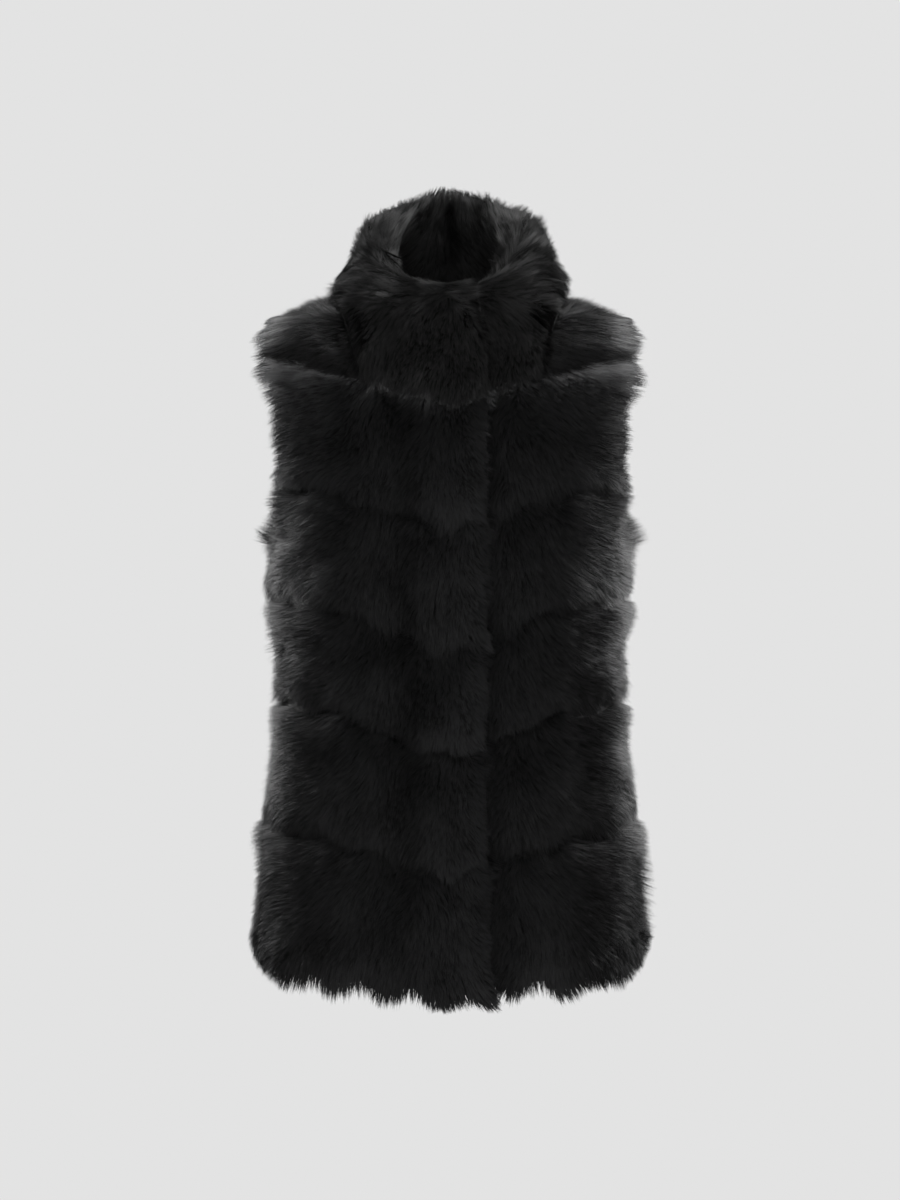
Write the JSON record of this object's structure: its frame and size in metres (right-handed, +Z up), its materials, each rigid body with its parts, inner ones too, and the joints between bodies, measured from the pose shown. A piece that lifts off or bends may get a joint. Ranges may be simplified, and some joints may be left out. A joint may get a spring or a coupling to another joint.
{
  "type": "shearling vest",
  "caption": "Sleeveless long-haired shearling vest with a tall funnel collar, a lapped front and tiers of pile, hollow and open as it is worn.",
  "frame": {"origin": "midway between the shoulder seams, where the wearer's shoulders carry the vest", "axes": "+Z up, -Y towards the front, -X towards the wearer's right"},
  "size_m": [0.407, 0.2941, 0.8063],
  "materials": {
    "body_pile": "soft black pile with a grey sheen along the hairs",
    "collar_pile": "soft deep black pile",
    "facing_pile": "soft black pile inside the collar"
  },
  "bodies": {
    "root": {"front_right_yoke": "body_pile", "front_right_tier_1": "body_pile", "front_right_tier_2": "body_pile", "front_right_tier_3": "body_pile", "front_right_tier_4": "body_pile", "front_right_tier_5": "body_pile", "front_left_yoke": "body_pile", "front_left_tier_1": "body_pile", "front_left_tier_2": "body_pile", "front_left_tier_3": "body_pile", "front_left_tier_4": "body_pile", "front_left_tier_5": "body_pile", "back_yoke": "body_pile", "back_tier_1": "body_pile", "back_tier_2": "body_pile", "back_tier_3": "body_pile", "back_tier_4": "body_pile", "back_tier_5": "body_pile", "collar_right": "collar_pile", "collar_left": "collar_pile", "collar_facing_right": "facing_pile", "collar_facing_left": "facing_pile"}
  },
  "joints": []
}
